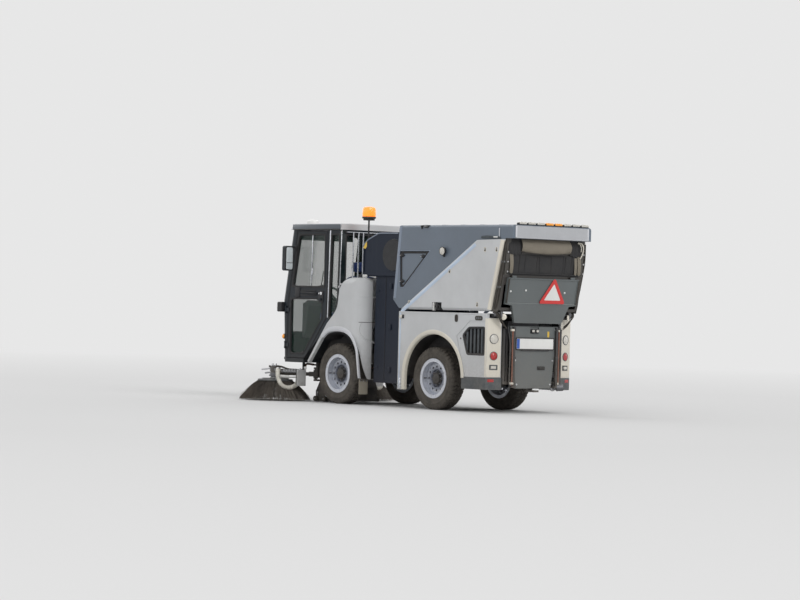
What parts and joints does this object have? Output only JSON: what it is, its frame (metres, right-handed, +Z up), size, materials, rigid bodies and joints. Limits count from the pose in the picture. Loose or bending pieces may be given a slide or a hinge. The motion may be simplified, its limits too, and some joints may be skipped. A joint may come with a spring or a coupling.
{
  "type": "articulated compact street sweeper truck",
  "caption": "Compact articulated street sweeper with a glazed cab, front brooms, suction mouth and rear tipping hopper.",
  "frame": {"origin": "on the ground, under the middle of the bounding box", "axes": "+X forward, +Y to the machine's left, +Z up"},
  "size_m": [4.192, 2.04, 2.148],
  "materials": {
    "silver_paint": "satin light grey paint",
    "graphite_paint": "satin blue-grey paint",
    "housing_paint": "satin dark paint",
    "door_paint": "satin mid grey paint",
    "chassis_black": "semi-gloss black",
    "black_plastic": "grained black plastic",
    "beige_trim": "beige grey",
    "rubber": "worn",
    "tyre": "dusty",
    "rim_silver": "silver lacquer",
    "glass": "tinted",
    "seat_fabric": "woven blue",
    "lamp_lens": "clear over red",
    "amber_lens": "clear amber",
    "plate_white": "blank",
    "bristle": "dark brown",
    "bare_steel": "oiled",
    "engine_grey": "plain"
  },
  "bodies": {
    "rear_unit": {"rear_frame": "chassis_black", "rear_rails": "chassis_black", "rear_axle": "chassis_black", "lower_panels": "silver_paint", "arch_liners": "black_plastic", "air_grilles": "black_plastic", "rear_bumpers": "black_plastic", "rear_cover": "door_paint", "number_plate": "plate_white", "rear_lamps": "lamp_lens", "engine_block": "engine_grey", "exhaust_pipe": "bare_steel", "lower_housing": "housing_paint", "upper_housing": "housing_paint", "beacon_pole": "chassis_black", "beacon": "amber_lens"},
    "front_unit": {"front_frame": "chassis_black", "front_rails": "chassis_black", "front_axle": "chassis_black", "cab_shell": "housing_paint", "cab_roof": "silver_paint", "cab_glass": "glass", "fenders": "silver_paint", "mudflaps": "rubber", "seat": "seat_fabric", "seat_pedestal": "black_plastic", "dashboard": "black_plastic", "head_lamps": "lamp_lens", "suction_mouth": "black_plastic", "splash_plates": "silver_paint"},
    "hopper": {"hopper_shell": "graphite_paint", "side_covers": "silver_paint", "rear_hood": "silver_paint", "outlet_flap": "beige_trim", "outlet_screen": "black_plastic", "outlet_frame": "beige_trim", "hopper_lamps": "lamp_lens"},
    "discharge_door": {"rear_door": "door_paint", "warning_triangle": "plate_white"},
    "lift_barrel_pair": {"lift_barrels": "bare_steel"},
    "lift_rod_pair": {"lift_rods": "bare_steel"},
    "left_door": {"left_door_frame": "housing_paint", "left_door_glass": "glass"},
    "front_left_wheel": {"front_left_rim": "rim_silver", "front_left_tyre": "tyre"},
    "rear_left_wheel": {"rear_left_rim": "rim_silver", "rear_left_tyre": "tyre"},
    "left_bracket_body": {"left_bracket": "chassis_black"},
    "left_arm_body": {"left_broom_arm": "chassis_black"},
    "left_brush_body": {"left_brush": "bristle"},
    "right_door": {"right_door_frame": "housing_paint", "right_door_glass": "glass"},
    "front_right_wheel": {"front_right_rim": "rim_silver", "front_right_tyre": "tyre"},
    "rear_right_wheel": {"rear_right_rim": "rim_silver", "rear_right_tyre": "tyre"},
    "right_bracket_body": {"right_bracket": "chassis_black"},
    "right_arm_body": {"right_broom_arm": "chassis_black"},
    "right_brush_body": {"right_brush": "bristle"}
  },
  "joints": [
    {"name": "articulation", "type": "hinge", "parent": "rear_unit", "child": "front_unit", "pos_m": [-0.109, 0, 0.42], "axis": [0, 0, 1], "range_deg": [-38, 38]},
    {"name": "front_left_wheel_spin", "type": "hinge", "parent": "front_unit", "child": "front_left_wheel", "pos_m": [0.686, 0.4625, 0.33], "axis": [0, 1, 0], "continuous": true},
    {"name": "rear_left_wheel_spin", "type": "hinge", "parent": "rear_unit", "child": "rear_left_wheel", "pos_m": [-0.904, 0.4625, 0.33], "axis": [0, 1, 0], "continuous": true},
    {"name": "front_right_wheel_spin", "type": "hinge", "parent": "front_unit", "child": "front_right_wheel", "pos_m": [0.686, -0.4625, 0.33], "axis": [0, 1, 0], "continuous": true},
    {"name": "rear_right_wheel_spin", "type": "hinge", "parent": "rear_unit", "child": "rear_right_wheel", "pos_m": [-0.904, -0.4625, 0.33], "axis": [0, 1, 0], "continuous": true},
    {"name": "left_door_hinge", "type": "hinge", "parent": "front_unit", "child": "left_door", "pos_m": [1.62, 0.556, 1], "axis": [0, 0, -1], "range_deg": [0, 75]},
    {"name": "right_door_hinge", "type": "hinge", "parent": "front_unit", "child": "right_door", "pos_m": [1.62, -0.556, 1], "axis": [0, 0, 1], "range_deg": [0, 75]},
    {"name": "hopper_tip", "type": "hinge", "parent": "rear_unit", "child": "hopper", "pos_m": [-1.843, 0, 1.02], "axis": [0, -1, 0], "range_deg": [0, 50]},
    {"name": "discharge_door_hinge", "type": "hinge", "parent": "hopper", "child": "discharge_door", "pos_m": [-1.974, 0, 1.412], "axis": [0, 1, 0], "range_deg": [0, 70]},
    {"name": "lift_barrel_hinge", "type": "hinge", "parent": "rear_unit", "child": "lift_barrel_pair", "pos_m": [-1.224, 0, 0.42], "axis": [0, -1, 0], "range_deg": [0, 10.79]},
    {"name": "lift_rod_slide", "type": "slide", "parent": "lift_barrel_pair", "child": "lift_rod_pair", "axis": [-0.0314, 0, 0.9995], "range_m": [0, 0.4842]},
    {"name": "left_broom_swing", "type": "hinge", "parent": "front_unit", "child": "left_bracket_body", "pos_m": [1.376, 0.3, 0.3], "axis": [0, 0, 1], "range_deg": [-20, 8]},
    {"name": "left_broom_lift", "type": "hinge", "parent": "left_bracket_body", "child": "left_arm_body", "pos_m": [1.41843, 0.34243, 0.3], "axis": [0.7071, -0.7071, 0], "range_deg": [0, 12]},
    {"name": "left_brush_spin", "type": "hinge", "parent": "left_arm_body", "child": "left_brush_body", "pos_m": [1.696, 0.62, 0.2], "axis": [0, 0, 1], "continuous": true},
    {"name": "right_broom_swing", "type": "hinge", "parent": "front_unit", "child": "right_bracket_body", "pos_m": [1.376, -0.3, 0.3], "axis": [0, 0, -1], "range_deg": [-20, 8]},
    {"name": "right_broom_lift", "type": "hinge", "parent": "right_bracket_body", "child": "right_arm_body", "pos_m": [1.41843, -0.34243, 0.3], "axis": [-0.7071, -0.7071, 0], "range_deg": [0, 12]},
    {"name": "right_brush_spin", "type": "hinge", "parent": "right_arm_body", "child": "right_brush_body", "pos_m": [1.696, -0.62, 0.2], "axis": [0, 0, 1], "continuous": true}
  ],
  "couplings": [
    {"joint": "lift_barrel_hinge", "follows": "hopper_tip", "ratio": 0.2156},
    {"joint": "lift_rod_slide", "follows": "hopper_tip", "m_per_rad": 0.55426}
  ]
}
